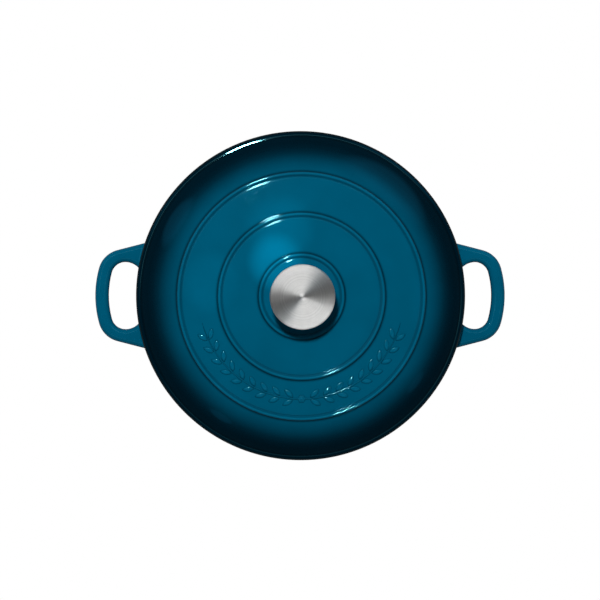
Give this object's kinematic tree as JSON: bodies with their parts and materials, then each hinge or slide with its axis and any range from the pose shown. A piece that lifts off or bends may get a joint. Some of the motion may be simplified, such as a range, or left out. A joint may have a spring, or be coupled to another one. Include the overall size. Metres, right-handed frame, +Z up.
{
  "type": "cast iron casserole with lid",
  "caption": "Round enamelled cast iron cooking pot with two loop handles, a loose domed lid with raised rings, and a round steel knob screwed to the lid.",
  "frame": {"origin": "middle of the resting plane under the pot", "axes": "+Z up, along which the lid lifts; X through the two handles; the lid's garland is on the -Y side"},
  "size_m": [0.3386, 0.27, 0.1731],
  "materials": {
    "pot_enamel": "glossy teal enamel fused to the iron, shading to near black at the foot",
    "lid_enamel": "glossy teal enamel fused to the iron, shading to near black at the edge",
    "brushed_steel": "circularly brushed",
    "polished_steel": "polished",
    "insert_metal": "turned",
    "gasket": "matte",
    "fastener_steel": "plain"
  },
  "bodies": {
    "pot": {"pot_body": "pot_enamel"},
    "lid": {"lid": "lid_enamel", "knob_cap": "brushed_steel", "knob_stem": "polished_steel", "knob_insert": "insert_metal", "knob_gasket": "gasket", "plain_washer": "fastener_steel", "lock_washer": "fastener_steel", "knob_screw": "fastener_steel"}
  },
  "joints": [
    {"name": "lid_lift", "type": "slide", "parent": "pot", "child": "lid", "axis": [0, 0, 1], "range_m": [0, 0.2]}
  ]
}
